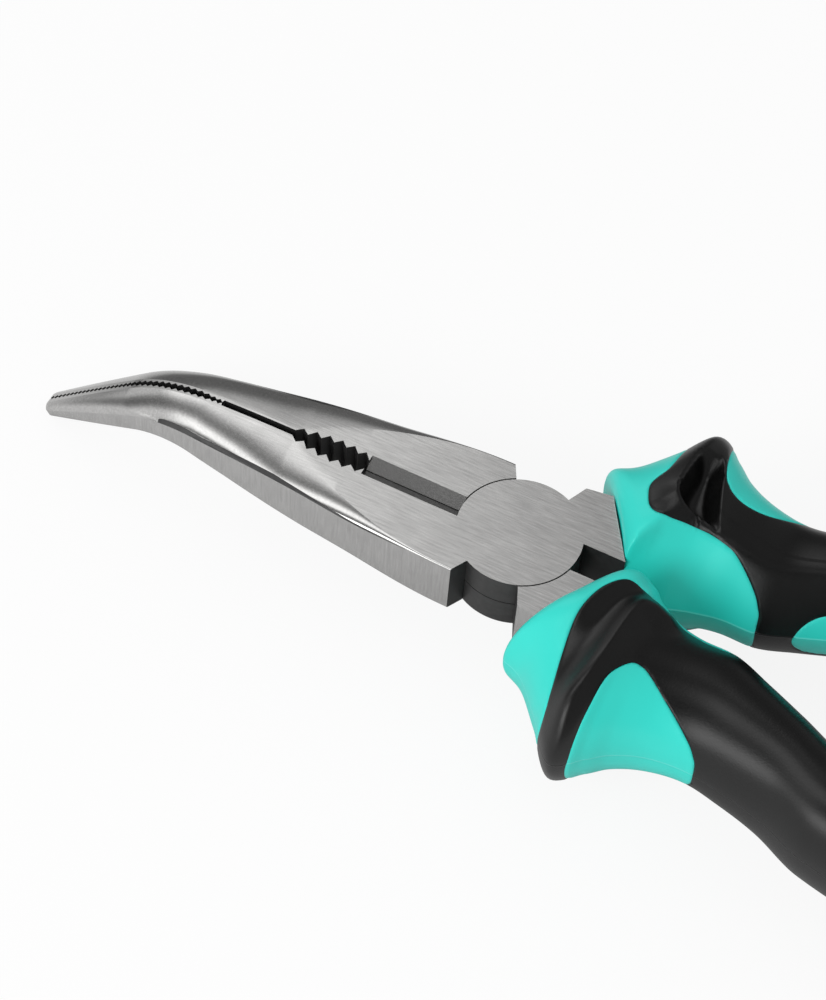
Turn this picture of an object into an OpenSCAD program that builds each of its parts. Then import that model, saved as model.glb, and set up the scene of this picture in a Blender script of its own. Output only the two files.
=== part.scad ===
// Bent needle nose pliers with pipe grip, side cutter and two-shot grips.
// The origin is on the pivot axis at the top face of the joint, +X runs to the handles, +Z is up.

/* [Joint] */
// Diameter of the round lap joint
disc_d = 20; // [17:0.5:24]
// Thickness of the joint and of the jaws behind the nose
head_t = 10.5; // [8.5:0.5:13]
// Diameter of the rivet
rivet_d = 6; // [4:0.5:7]
// Diameter of the rivet's countersunk head
rivet_head_d = 9; // [8:0.5:12]
// How far the jaws open
open_deg = 50; // [30:1:50]

/* [Jaws] */
// Length of the nose along its middle, from the pivot to the tip
nose_len = 89; // [80:0.5:110]
// Width across both jaws at the joint
jaw_w = 23; // [21:0.5:28]
// Width across both jaws at the tip
tip_w = 4.2; // [3:0.1:6]
// Thickness of the tip
tip_t = 2.5; // [1.5:0.1:4]
// Distance from the pivot to the front point of the ground flat
flat_len = 39.5; // [34:0.5:46]
// Distance from the pivot to the start of the bend
bend_at = 54.4; // [48:0.2:58]
// Radius of the bend along the middle of the nose
bend_r = 22; // [16:0.5:30]
// Angle of the bend
bend_deg = 34; // [10:1:45]

/* [Gripping and cutting] */
// Distance from the pivot to the first fine tooth
teeth_at = 52.4; // [48:0.2:56]
// Pitch of the fine teeth
tooth_pitch = 1.03; // [0.8:0.01:1.6]
// Depth of the fine teeth
tooth_depth = 0.4; // [0.2:0.05:0.6]
// Width of the slit behind the fine teeth
slit_w = 0.66; // [0.3:0.02:1]
// Pitch of the pipe grip's notches
notch_pitch = 2.15; // [1.6:0.05:2.6]
// Number of notches in the pipe grip
notches = 6; // [3:1:6]
// Depth of the pipe grip's middle notch in each jaw
notch_depth = 2.4; // [1.6:0.1:3]
// Width of the cutter's groove at the top face
groove_w = 4; // [2.4:0.1:5]
// Depth of the cutting edge below the top face
edge_depth = 1.5; // [1:0.1:2.5]

/* [Grips] */
// Start of the grip along the handle
grip_at = 11.75; // [11:0.25:14]
// End of the grip along the handle
grip_end = 118; // [105:1:140]
// Thickness of the grip at the guard
grip_t = 21.2; // [18:0.2:25]
// Reach of the guard from the middle of the pliers
guard_y = 32.5; // [29:0.5:36]
// Place of the guard along the handle
guard_at = 22.5; // [21:0.5:25]
// Thickness of the black skin
skin_t = 1.6; // [1:0.1:2.4]
// Height of the rib that runs out to the guard
rib_h = 1.8; // [0:0.1:2.4]
// Depth of the thumb's hollow
hollow_h = 1.5; // [0:0.1:2]
// Width of the tang inside the grip
tang_w = 8; // [5:0.5:9]
// Thickness of the tang inside the grip
tang_t = 7; // [4:0.5:8]

/* [Hidden] */
$fn = 96;

steel = "#8f8f8d";
mint = "#46dccb";
black = "#1c1c1c";

mid = -head_t / 2;
disc_r = disc_d / 2;
// Clearances: round the discs, between the lapped faces, round the turning and the pressed end of the rivet,
// between the jaws, and round moulded parts
disc_gap = 0.2;
lap_gap = 0.1;
run_gap = 0.04;
press_gap = 0.01;
jaw_gap = 0.12;
mould_gap = 0.1;
// Larger than any part of the pliers, for cutting blocks
far = 60;

// Angles of the faces that stop the jaws, from the +X axis
jaw_face_deg = 118.5;
shoulder_deg = jaw_face_deg - open_deg - 2.5;
shoulder_r = disc_r + 3.7;
slot_w = 5.4;

// Smooth step from 0 at a to 1 at b
function ease(v, a, b) = let (t = min(max((v - a) / (b - a), 0), 1)) t * t * (3 - 2 * t);
function mix(a, b, t) = a + (b - a) * t;

// Middle line of the nose: straight, an arc down, straight again
bend_len = bend_r * bend_deg * PI / 180;
function turn(s) = min(max((s - bend_at) / bend_len, 0), 1) * bend_deg;
function past(s) = max(s - bend_at - bend_len, 0);
function nose_x(s) = -min(s, bend_at) - bend_r * sin(turn(s)) - past(s) * cos(bend_deg);
function nose_z(s) = mid - bend_r * (1 - cos(turn(s))) - past(s) * sin(bend_deg);
function nose_point(s, y, n) = [nose_x(s) - n * sin(turn(s)), y, nose_z(s) + n * cos(turn(s))];

// Half section of the nose at s: half thickness, half width, half height of the side strip, end of the flat
jaw_rear = 6;
straight_taper = 1.16;
thin_power = 1.75;
arch_power = 0.8;
// Share of the half thickness that the side strip takes at the tip, and its gains at the bend and the joint
strip_share = 0.42;
strip_bend = 0.34;
strip_joint = 0.2;
bend_gain = [flat_len + 22, flat_len - 8];
joint_gain = [flat_len - 13.5, jaw_rear + 2];
least_flat = 0.3;
flat_inset = 0.2;
function half_t(s) =
    mix(head_t, tip_t, pow(max(s - flat_len, 0) / (nose_len - flat_len), thin_power)) / 2;
function half_w(s) =
    let (q = min((nose_len - s) / (nose_len - jaw_rear), 1))
    mix(tip_w, jaw_w, q * mix(straight_taper, 1, pow(q, 6))) / 2;
function side_h(s) =
    half_t(s) * (strip_share
                 + strip_bend * ease(s, bend_gain[0], bend_gain[1])
                 + strip_joint * ease(s, joint_gain[0], joint_gain[1]));
function flat_y(s) =
    let (u = min(max((flat_len - s) / (flat_len - jaw_rear), 0), 1))
    min((jaw_w / 2 - flat_inset) * sin(90 * pow(u, arch_power)), half_w(s) - least_flat);

// Half gap between the jaws: closed at the joint, a slit, then teeth that meet towards the tip
close_from = teeth_at + 3 * tooth_pitch;
close_to = teeth_at + 16 * tooth_pitch;
function jaw_y(s) =
    s < flat_len ? jaw_gap / 2
    : s < teeth_at ? slit_w / 2
    : mix(slit_w / 2, jaw_gap / 2, ease(s, close_from, close_to));

// The section's outline: inner face, flat, rounded shoulder, side strip, and the same below
shoulder_n = 4;
shoulder_from = 20;
shoulder_to = 80;
function arc_y(t) = (sin(t) - sin(shoulder_from)) / (sin(shoulder_to) - sin(shoulder_from));
function arc_z(t) = (cos(t) - cos(shoulder_to)) / (cos(shoulder_from) - cos(shoulder_to));
function upper(s, inner) =
    let (h = half_t(s), f = max(flat_y(s), inner + least_flat))
    concat([[inner, h]],
           [for (i = [0 : shoulder_n])
               let (t = mix(shoulder_from, shoulder_to, i / shoulder_n))
               [mix(f, half_w(s), arc_y(t)), mix(side_h(s), h, arc_z(t))]]);
function section(s, inner) =
    let (up = upper(s, inner), n = len(up))
    [for (i = [0 : 2 * n - 1])
        let (p = i < n ? up[i] : up[2 * n - 1 - i])
        nose_point(s, p[0], i < n ? p[1] : -p[1])];

// Stations along the nose, each with the place of its inner face
straight_n = 9;
straight_bunch = 1.4;
slit_n = 3;
slit_short = 0.4;
tooth_n = floor((nose_len - teeth_at) / tooth_pitch);
function straight_s(i) = flat_len * (1 - pow(1 - i / straight_n, straight_bunch));
function slit_s(i) = mix(flat_len, teeth_at - slit_short, i / slit_n);
function tooth_s(i) = teeth_at + i * tooth_pitch / 2;
stations = concat(
    [for (i = [0 : straight_n - 1]) [straight_s(i), jaw_y(straight_s(i))]],
    [for (i = [0 : slit_n]) [slit_s(i), jaw_y(slit_s(i))]],
    [for (i = [0 : 2 * tooth_n - 1]) [tooth_s(i), jaw_y(tooth_s(i)) + (i % 2) * tooth_depth]],
    [[nose_len, jaw_y(nose_len)]]);

// A closed skin over equal rings of points, with flat ends
function skin_faces(rings, n) = concat(
    [[for (i = [0 : n - 1]) i]],
    [[for (i = [0 : n - 1]) rings * n - 1 - i]],
    [for (r = [0 : rings - 2], i = [0 : n - 1], half = [0, 1])
        let (a = r * n + i, b = r * n + (i + 1) % n)
        half == 0 ? [a, a + n, b] : [b, a + n, b + n]]);
module loft(rings)
    polyhedron([for (ring = rings, p = ring) p], skin_faces(len(rings), len(rings[0])));

// Pipe grip: a row of notches whose depth swells to the middle, cut through both jaws
pipe_len = notches * notch_pitch;
notch_least = 0.45;
notch_rise = 1;
function pipe_y(i) =
    notch_depth * mix(notch_least, 1, sin(180 * (i + 0.5) / (2 * notches + 4)))
    - (i % 2 == 0 ? notch_rise : 0);
module pipe_grip() {
    edge = [for (i = [0 : 2 * notches]) [-flat_len + i * notch_pitch / 2, max(pipe_y(i), slit_w / 2)]];
    translate([0, 0, -head_t - 1])
        linear_extrude(head_t + 2)
            polygon(concat([[-flat_len, -1]], edge, [[-flat_len + pipe_len, -1]]));
}

// Side cutter: a groove with bevelled sides down to the edge, and relief below it
edge_land = 0.6;
relief_y = 1.6;
relief_depth = 5;
module cutter() {
    edge_y = jaw_gap / 2;
    profile = [[-1, 1], [groove_w / 2, 1], [groove_w / 2, 0], [edge_y, -edge_depth],
               [edge_y, -edge_depth - edge_land], [relief_y, -relief_depth],
               [relief_y, -head_t - 1], [-1, -head_t - 1]];
    cut_from = -flat_len + pipe_len;
    translate([cut_from, 0, 0])
        rotate([90, 0, 90])
            linear_extrude(-cut_from - disc_r / 2)
                polygon(profile);
}

// The far jaw, on the +Y side, up to the face that stops the jaws
module jaw() {
    difference() {
        loft([for (st = stations) section(st[0], st[1])]);
        pipe_grip();
        cutter();
        rotate([0, 0, jaw_face_deg])
            translate([-far, -far, -far])
                cube([2 * far, far, 2 * far]);
    }
}

// A grip along the handle: place, inner edge, outer edge, how far each face passes half its thickness
grip_rows = [
    [grip_at, 1.4, 18.9, -2, 0.9],
    [grip_at + 4, 1, 20.8, -0.4, 2.4],
    [guard_at - 3.2, 0.9, guard_y - 6.4, 0.7, 1.1],
    [guard_at, 1, guard_y, 0.6, 1.1],
    [guard_at + 2.7, 1.4, guard_y - 3.2, 0.7, 0.9],
    [guard_at + 5.7, 2.4, guard_y - 5.8, -0.2, 0.6],
    [33, 3.5, 24.6, -1, 0.2],
    [39, 3.8, 23.9, -1.9, 0.3],
    [45, 6.2, 24.7, -1.5, 0.6],
    [52, 9.2, 26.3, -0.8, 0.4],
    [60, 12.7, 29.5, 0, 0.1],
    [75, 15, 31.9, 0.2, 0.2],
    [90, 15.4, 31.8, -0.2, -0.2],
    [grip_end - 13, 14, 29.8, -1, -1],
    [grip_end, 12.4, 27, -1.8, -1.8]];
last_row = len(grip_rows) - 1;
grip_cap = 7;
grip_slant = 0.65;

// Smooth curve through one column of the rows, level at neither end
function slope(c, i) =
    let (a = max(i - 1, 0), b = min(i + 1, last_row))
    (grip_rows[b][c] - grip_rows[a][c]) / (grip_rows[b][0] - grip_rows[a][0]);
function row_before(u) = max([for (k = [0 : last_row - 1]) if (k == 0 || grip_rows[k][0] <= u) k]);
function along(c, u) =
    let (i = row_before(u), d = grip_rows[i + 1][0] - grip_rows[i][0], t = (u - grip_rows[i][0]) / d)
    grip_rows[i][c] * (1 + 2 * t) * (1 - t) * (1 - t)
    + grip_rows[i + 1][c] * t * t * (3 - 2 * t)
    + d * slope(c, i) * t * (1 - t) * (1 - t)
    - d * slope(c, i + 1) * t * t * (1 - t);

// How boxy each quarter of a ring is, and the one power that all share along the handle
ring_n = 20;
thumb_power = 3;
other_power = 6.2;
neck_power = 2.05;
thumb_out_power = 2.5;
other_out_power = 1.95;
handle_power = 2.4;
handle_from = 50;
handle_to = 75;
function quarter_power(u, a) =
    sin(a) > 0 ? (cos(a) > 0 ? thumb_out_power : thumb_power)
    : cos(a) > 0 ? other_out_power
    : mix(other_power, neck_power, ease(u, grip_at + 1, guard_at + 7.5));
function power(u, a) = mix(quarter_power(u, a), handle_power, ease(u, handle_from, handle_to));
function stretch(a, p) = pow(pow(abs(cos(a)), p) + pow(abs(sin(a)), p), -1 / p);

// Rib and hollow on the faces, and the slanted panel that falls from a ridge to the inner edge
rib_x = guard_at - 2.5;
rib_w = 2.4;
hollow_x = guard_at + 0.8;
hollow_y = guard_y / 2;
hollow_len = 3;
hollow_wide = 4;
ridge = [[15.5, 3.6], [18.6, 7.2], [20.5, 8.8], [24.3, 10.3], [31.4, 10.2], [37.1, 10.8], [43.3, 12.6],
         [52, 15], [60, 17], [75, 18.4], [90, 18.4]];
ridge_z = grip_t / 2 - 1.35;
function bell(v, w) = exp(-pow(v / w, 2));
function rib(x, y) = rib_h * bell(x - rib_x, rib_w) * ease(y, 5, 12);
function hollow(x, y) = hollow_h * bell(x - hollow_x, hollow_len) * bell(y - hollow_y, hollow_wide);
function panel(x, y, inner, inset) =
    ridge_z / max(lookup(x, ridge) - inner, 1) * (y - inner - inset);

// A point of the grip drawn in by inset: place along the handle and angle round it, slanted at the collar
function slant(u) = grip_slant * (1 - ease(u, grip_at, guard_at + 4));
function end_round(u, inset) =
    let (v = min(max((u - grip_end + grip_cap) / (grip_cap - inset), 0), 0.99))
    sqrt(1 - v * v);
function grip_point(u, a, inset) =
    let (thumb = sin(a) > 0,
         k = end_round(u, inset),
         far_out = stretch(a, power(u, a)),
         dy = ((along(2, u) - along(1, u)) / 2 - inset) * k * cos(a) * far_out,
         x = u - slant(u) * dy,
         y = middle(u) + dy,
         rise = abs(sin(a)) * far_out,
         shape = (rib(x, y) - (thumb ? hollow(x, y) : 0)) * ease(rise, 0.3, 0.8),
         z = (grip_t / 2 + along(thumb ? 3 : 4, u) - inset) * k * rise + shape)
    [x, y, !thumb ? -z : cos(a) > 0 ? z : min(z, panel(x, y, along(1, u), inset))];
grip_n = 26;
cap_n = 4;
function grip_u(i, inset) =
    let (n = grip_n - cap_n, t = i / n, v = (i - n + 1) / cap_n)
    i < n ? mix(grip_at, grip_end - grip_cap, mix(t * t, t, 0.55))
    : grip_end - grip_cap + (grip_cap - inset) * sin(90 * v);
module grip_loft(inset)
    loft([for (i = [0 : grip_n - 1])
        let (u = grip_u(i, inset))
        [for (k = [0 : ring_n - 1]) grip_point(u, k * 360 / ring_n, inset)]]);

// A moulding is one free-form mesh
module moulding() resize([0, 0, 0]) children();

// Edges of the black skin seen from above, on the thumb face and on the other face, and its finger windows
thumb_edge = [
    [17.5, guard_y + 5], [16.7, 20], [15, 14.4], [16.6, 10.7], [20.2, 10.1], [26.5, 10.9], [32.1, 9.7],
    [37.6, 6.3], [38.8, 3], [39, -4]];
other_edge = [
    [17.5, guard_y + 5], [16.8, 24.8], [15.6, 14.8], [17.2, 7.8], [21.6, 4.5], [28, 5.6], [34.5, 6.7],
    [37.8, 6], [38.8, 3], [39, -4]];
thumb_window = [
    [22.9, guard_y + 5], [23.4, 27.4], [25.4, 20.6], [29.5, 18.4], [34, 19.1], [39.5, 22.8], [41, 30]];
other_window = [
    [23.2, guard_y + 5], [23.5, 26], [24.5, 19.6], [27.2, 17], [32.8, 19.7], [39.5, 23.2], [41, 30]];

// Smooth curve through hand-placed points
function curve(a, b, c, d, t) =
    b + (c - a) / 2 * t
    + (a - 2.5 * b + 2 * c - d / 2) * t * t
    + (1.5 * (b - c) + (d - a) / 2) * t * t * t;
function spline(p, n = 3) = concat(
    [for (i = [0 : len(p) - 2], k = [0 : n - 1])
        curve(p[max(i - 1, 0)], p[i], p[i + 1], p[min(i + 2, len(p) - 1)], k / n)],
    [p[len(p) - 1]]);

// Middle of the grip, from its inner to its outer edge
function middle(u) = (along(1, u) + along(2, u)) / 2;

// Inner window: a long opening on the side of the grip that faces the other handle
palm_window = [44.2, 84];
palm_window_h = 8.8;
palm_window_z = -1;
edge_room = 9;

// Room that the black skin fills, widened by grow
module skin_room(grow) {
    face_h = grip_t;
    difference() {
        for (up = [0, 1])
            translate([0, 0, up ? -grow : -face_h])
                linear_extrude(face_h + grow)
                    offset(delta = grow)
                        difference() {
                            polygon(concat(spline(up ? thumb_edge : other_edge),
                                           [[grip_end + edge_room, -4],
                                            [grip_end + edge_room, guard_y + edge_room],
                                            [guard_at, guard_y + edge_room]]));
                            polygon(spline(up ? thumb_window : other_window));
                        }
        palm_opening(palm_window_h / 2 - grow);
    }
}
module palm_opening(r) {
    end_inset = palm_window_h / 2;
    from = palm_window[0] - 1;
    to = palm_window[1] + 1;
    intersection() {
        hull()
            for (x = [palm_window[0] + end_inset, palm_window[1] - end_inset])
                translate([x, -far / 2, palm_window_z])
                    rotate([-90, 0, 0])
                        cylinder(h = far, r = r, $fn = 20);
        translate([0, 0, -far / 2])
            linear_extrude(far)
                polygon(concat([for (i = [0 : 6]) let (u = mix(from, to, i / 6)) [u, middle(u) - 2]],
                               [[to, -far / 2], [from, -far / 2]]));
    }
}

// Steel tang inside the grip, widened by grow, and its full thickness shank between joint and collar
collar_mid = (grip_rows[0][1] + grip_rows[0][2]) / 2;
function collar_x(y) = grip_at - grip_slant * (y - collar_mid);
shank_y = 13.2;
neck_inset = 1.8;
neck_x = collar_x(shank_y) - 2;
tang_from = grip_at + 3;
tang_to = grip_end - 14;
tang_n = 9;
tang_inset = [6, 4.2];
function tang_y(u) = along(1, u) + mix(tang_inset[0], tang_inset[1], ease(u, 45, 60));
module tang_bar(grow) {
    us = [for (i = [0 : tang_n]) mix(tang_from, tang_to + grow, i / tang_n)];
    translate([0, 0, -tang_t / 2 - grow])
        linear_extrude(tang_t + 2 * grow)
            polygon(concat([[neck_x, slot_w / 2 + neck_inset - grow]],
                           [for (u = us) [u, tang_y(u) - grow]],
                           [for (i = [tang_n : -1 : 0]) [us[i], tang_y(us[i]) + tang_w + grow]],
                           [[neck_x, shank_y - neck_inset + grow]]));
}
module shank() {
    shoulder = [cos(shoulder_deg), sin(shoulder_deg)];
    translate([0, 0, -head_t])
        linear_extrude(head_t)
            polygon([disc_r / 2 * shoulder, shoulder_r * shoulder, [collar_x(shank_y) - mould_gap, shank_y],
                     [collar_x(slot_w / 2) - mould_gap, slot_w / 2], [disc_r / 2, slot_w / 2]]);
}

// Steel half with its jaw on the far side and its tang on the near side, before drilling
module half_blank(disc_up) {
    disc_h = head_t / 2 - lap_gap / 2;
    difference() {
        union() {
            jaw();
            mirror([0, 1, 0]) shank();
            translate([0, 0, mid])
                mirror([0, 1, 0])
                    tang_bar(0);
        }
        translate([0, 0, disc_up ? -head_t - 1 : mid - lap_gap / 2])
            cylinder(h = disc_h + lap_gap + 1, r = disc_r + disc_gap);
    }
    translate([0, 0, disc_up ? mid + lap_gap / 2 : -head_t])
        cylinder(h = disc_h, r = disc_r);
}

// Rivet: pressed into a blind hole in the top half, turning in the bottom half, countersunk below
rivet_top = -1.5;
head_h = 1.6;
head_sink = 0.1;
module rivet_shape(gap) {
    base = -head_t + head_sink;
    translate([0, 0, base])
        cylinder(h = rivet_top - base, d = rivet_d + 2 * gap);
    translate([0, 0, base])
        cylinder(h = head_h, d1 = rivet_head_d + 2 * gap, d2 = rivet_d + 2 * gap);
}

module top_half() {
    color(steel)
        difference() {
            mirror([0, 1, 0]) half_blank(true);
            translate([0, 0, mid - 1])
                cylinder(h = rivet_top - mid + 1 + press_gap, d = rivet_d + 2 * press_gap);
        }
}

module bottom_half() {
    color(steel)
        difference() {
            half_blank(false);
            rivet_shape(run_gap);
            translate([0, 0, -head_t - 1])
                cylinder(h = 1 + head_sink + run_gap, d = rivet_head_d + 2 * run_gap);
        }
}

module pivot_rivet() color(steel) rivet_shape(0);

// Grip over the far tang: a hard core with a bed for the skin, and the skin
module grip_core() {
    moulding()
        difference() {
            grip_loft(0);
            difference() {
                skin_room(mould_gap);
                grip_loft(skin_t + mould_gap);
            }
            tang_bar(mould_gap);
        }
}
module grip_skin() {
    moulding()
        difference() {
            intersection() {
                grip_loft(0);
                skin_room(0);
            }
            grip_loft(skin_t);
        }
}

// The same grip serves the near tang, turned over
module on_far_tang() translate([0, 0, mid]) children();
module on_near_tang() translate([0, 0, mid]) rotate([180, 0, 0]) children();

module top_grip_core() color(mint) on_far_tang() grip_core();
module top_grip_skin() color(black) on_far_tang() grip_skin();
module bottom_grip_core() color(mint) on_near_tang() grip_core();
module bottom_grip_skin() color(black) on_near_tang() grip_skin();

top_half();
bottom_half();
pivot_rivet();
top_grip_core();
top_grip_skin();
bottom_grip_core();
bottom_grip_skin();
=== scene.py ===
import bpy
import numpy as np
from mathutils import Matrix, Vector


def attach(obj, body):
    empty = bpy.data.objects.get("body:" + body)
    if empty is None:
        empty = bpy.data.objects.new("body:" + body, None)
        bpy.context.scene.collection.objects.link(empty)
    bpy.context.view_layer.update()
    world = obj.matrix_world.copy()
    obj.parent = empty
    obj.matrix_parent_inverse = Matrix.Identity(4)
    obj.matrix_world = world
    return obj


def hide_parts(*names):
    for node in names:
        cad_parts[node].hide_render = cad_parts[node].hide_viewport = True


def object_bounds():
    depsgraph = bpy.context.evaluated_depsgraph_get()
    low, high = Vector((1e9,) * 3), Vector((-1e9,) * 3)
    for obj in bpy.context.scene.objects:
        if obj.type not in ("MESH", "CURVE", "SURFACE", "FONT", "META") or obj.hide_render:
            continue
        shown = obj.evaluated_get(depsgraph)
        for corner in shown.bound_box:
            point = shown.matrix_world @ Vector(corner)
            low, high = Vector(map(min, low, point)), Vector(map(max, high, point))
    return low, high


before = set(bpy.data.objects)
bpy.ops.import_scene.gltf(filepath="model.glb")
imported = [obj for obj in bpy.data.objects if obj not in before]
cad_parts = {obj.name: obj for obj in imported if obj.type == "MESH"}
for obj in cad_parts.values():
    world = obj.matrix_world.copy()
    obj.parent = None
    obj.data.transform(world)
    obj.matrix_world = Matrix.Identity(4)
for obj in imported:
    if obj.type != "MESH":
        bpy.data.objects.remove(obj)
cad_low, cad_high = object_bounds()

# Bottom half
# A drop forging of tool steel with the far jaw, the lower disc of the lap joint and the near handle's tang.
# Its flats and sides are ground and its nose is polished; teeth, pipe grip and cutter are cut afterwards.
# Its inner faces, cuts and other unground walls are drawn in dark steel, as painted shade for where they lie in
# shade.
MM = 0.001
head_t = 10.5
mid = -head_t / 2
disc_r = 10.0
# Clearances: round the upper disc, round the lower disc, and between the two discs
disc_gap = 0.22
under_gap = 0.08
lap_gap = 0.16
nose_len = 89.0
jaw_w = 23.0
tip_w = 4.2
tip_t = 2.5
tip_round = 0.8
thin_power = 1.75
flat_len = 39.5
bend_at = 54.4
bend_r = 22.0
bend_rad = np.radians(34)
bend_len = bend_r * bend_rad
jaw_rear = 6.0
# The rounded shoulder is part of an ellipse: the angles it runs between, at the joint and at the nose
shoulder_from = 20
shoulder_to = 80
nose_to = 62
nose_full = 0.8
shoulder_columns = 18
# Full gaps between the jaws: at the joint, at the tip, in the slit, and where the fine teeth start
jaw_gap = 0.12
tip_gap = 0.06
slit_w = 1.1
tooth_gap = 0.66
teeth_at = 52.4
tooth_pitch = 1.03
tooth_depth = 0.4
# The narrow band between polished shoulder and ground side, drawn in dark steel as a painted dark reflection: ends
# and widest angle
dark_reflection_from = 14.0
dark_reflection_to = 60.5
dark_reflection_deg = 12.0
dark_reflection_columns = 3


def ease(v, a, b):
    """Smooth step: 0 at a, 1 at b, level at both."""
    t = np.clip((v - a) / (b - a), 0, 1)
    return t * t * (3 - 2 * t)


def mix(a, b, t):
    """The value a share t of the way from a to b."""
    return a + (b - a) * t


def half_thickness(s):
    """Half the nose's thickness: constant along the flat, then falling as a power of the distance past it."""
    return mix(head_t, tip_t, (np.maximum(s - flat_len, 0) / (nose_len - flat_len)) ** thin_power) / 2


def half_width(s):
    """Half the nose's width: a straight taper from the tip that eases off towards the joint."""
    q = np.minimum((nose_len - s) / (nose_len - jaw_rear), 1)
    return mix(tip_w, jaw_w, q * mix(1.16, 1, q ** 6)) / 2


def flat_edge(s):
    """Half width of the ground flat: a pointed arch, a sine of the distance behind its front point."""
    u = np.clip((flat_len - s) / (flat_len - jaw_rear), 0, 1)
    return np.minimum((jaw_w / 2 - 0.2) * np.sin(np.pi / 2 * u ** 0.8), half_width(s) - 0.3)


def inner_face(s):
    """Half the gap between the jaws: closed at the joint, a slit, then a triangle wave that closes to the tip."""
    past = s - teeth_at
    toothed = mix(tooth_gap, tip_gap, ease(past, 7, 22)) * mix(0.3, 1, ease(past, 0, 4))
    plain = np.where(s < flat_len, jaw_gap, np.where(past < 0, slit_w, toothed)) / 2
    phase = np.mod(past / tooth_pitch, 1)
    wave = 1 - np.abs(2 * phase - 1)
    return plain + np.where(past > 0, tooth_depth * wave, 0)


def jaw_surface(s):
    """Rings across the far jaw at the stations s, as points [station, place round the ring].

    A ring runs out over the flat, round an elliptic shoulder, down the side, back below and up the inner face.
    Each ring is set square to the nose's middle line: straight, an arc down, then straight again.
    """
    s = s[:, None]
    end = np.sqrt(1 - 0.97 * np.clip((s - nose_len + tip_round) / tip_round, 0, 1) ** 2)
    inner = inner_face(s)
    high = half_thickness(s) * mix(0.65, 1, end)
    wide = inner + (half_width(s) - inner) * mix(0.6, 1, end)
    side = high * (0.42 + 0.34 * ease(s, flat_len + 22, flat_len - 8) + 0.2 * ease(s, 26, 8))
    least_flat = slit_w / 2 + tooth_depth
    flat = np.minimum(np.maximum(flat_edge(s), least_flat), wide - 0.1)
    run = np.linspace(0, 1, 5)[None, :-1]
    # The band of painted dark reflection: its width in angle, where it stops, and its columns
    strip = dark_reflection_deg * np.sin(np.pi * np.clip((s - dark_reflection_from) / (dark_reflection_to - dark_reflection_from), 0, 1)) ** 0.2
    stop = mix(shoulder_to, nose_to, ease(s, dark_reflection_to - 9, dark_reflection_to + 1))
    strip_from = stop - 0.5 - strip
    polished = mix(shoulder_from, strip_from, np.linspace(0, 1, shoulder_columns)[None, :])
    dark_reflection_angles = mix(strip_from, stop, np.linspace(0, 1, dark_reflection_columns + 1)[None, 1:])
    t = np.radians(np.hstack([polished, dark_reflection_angles]))
    t0, t1 = np.radians(shoulder_from), np.radians(stop)
    full = mix(1, nose_full, ease(s, flat_len + 2, flat_len + 10))
    out = (np.sin(t) ** full - np.sin(t0) ** full) / (np.sin(t1) ** full - np.sin(t0) ** full)
    up = (np.cos(t) ** full - np.cos(t1) ** full) / (np.cos(t0) ** full - np.cos(t1) ** full)
    upper_y = np.hstack([mix(inner, flat, run), mix(flat, wide, out)])
    upper_n = np.hstack([high + 0 * run, mix(side, high, up)])
    down = np.linspace(1, -1, 5)[None, 1:-1]
    rise = np.linspace(-1, 1, 6)[None, 1:-1]
    y = np.hstack([upper_y, wide + 0 * down, upper_y[:, ::-1], inner + 0 * rise])
    n = np.hstack([upper_n, side * down, -upper_n[:, ::-1], high * rise])
    angle = bend_rad * np.clip((s - bend_at) / bend_len, 0, 1)
    past = np.maximum(s - bend_at - bend_len, 0)
    x = -np.minimum(s, bend_at) - bend_r * np.sin(angle) - past * np.cos(bend_rad)
    z = mid - bend_r * (1 - np.cos(angle)) - past * np.sin(bend_rad)
    return np.stack([x - n * np.sin(angle), y, z + n * np.cos(angle)], -1)


def ring_faces(rows, ring):
    """Quads between neighbouring rings of a closed loft, then a cap on its first and on its last ring."""
    i = np.arange(rows - 1)[:, None] * ring
    j = np.arange(ring)
    k = (j + 1) % ring
    quads = np.stack([i + j, i + k, i + ring + k, i + ring + j], -1).reshape(-1, 4)
    first = list(range(ring - 1, -1, -1))
    last = list(range((rows - 1) * ring, rows * ring))
    return quads.tolist() + [first, last]


def new_piece(name, points, faces, finishes, finish_of=None):
    """A mesh object of points in millimetres, with its materials and each face's number among them."""
    mesh = bpy.data.meshes.new(name)
    mesh.from_pydata((points.reshape(-1, 3) * MM).tolist(), [], faces)
    for finish in finishes:
        mesh.materials.append(finish)
    if finish_of is not None:
        mesh.polygons.foreach_set("material_index", finish_of)
    mesh.polygons.foreach_set("use_smooth", np.ones(len(mesh.polygons), bool))
    mesh.update()
    piece = bpy.data.objects.new(name, mesh)
    bpy.context.scene.collection.objects.link(piece)
    return piece


def prism(outline, low, high, walls, ends=None, axes=(0, 1, 2), ground=(), caps=1):
    """A closed prism: an outline that runs anticlockwise, carried from low to high along the last of the axes.

    Those of its walls that are listed as ground, and its two caps unless caps is 0, have the ends' finish.
    """
    rings = np.zeros((2, len(outline), 3))
    rings[:, :, axes[0]] = outline[:, 0]
    rings[:, :, axes[1]] = outline[:, 1]
    rings[:, :, axes[2]] = [[low], [high]]
    finish_of = [int(wall in ground) for wall in range(len(outline))] + [caps, caps]
    return new_piece("tool", rings, ring_faces(2, len(outline)), [walls, ends or walls], finish_of)


def circle(radius, count=240):
    """Points round a circle about the pivot, anticlockwise."""
    t = np.linspace(0, 2 * np.pi, count, endpoint=False)
    return radius * np.stack([np.cos(t), np.sin(t)], -1)


def join(piece, tool, operation):
    """Cuts, joins or crosses a closed piece with a closed tool, keeps the result as its mesh and drops the tool."""
    change = piece.modifiers.new("join", "BOOLEAN")
    change.operation = operation
    change.solver = "EXACT"
    change.material_mode = "TRANSFER"
    change.object = tool
    shaped = piece.evaluated_get(bpy.context.evaluated_depsgraph_get())
    mesh = bpy.data.meshes.new_from_object(shaped)
    piece.modifiers.clear()
    old, piece.data = piece.data, mesh
    mesh.name = piece.name
    bpy.data.meshes.remove(old)
    bpy.data.meshes.remove(tool.data)


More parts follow.
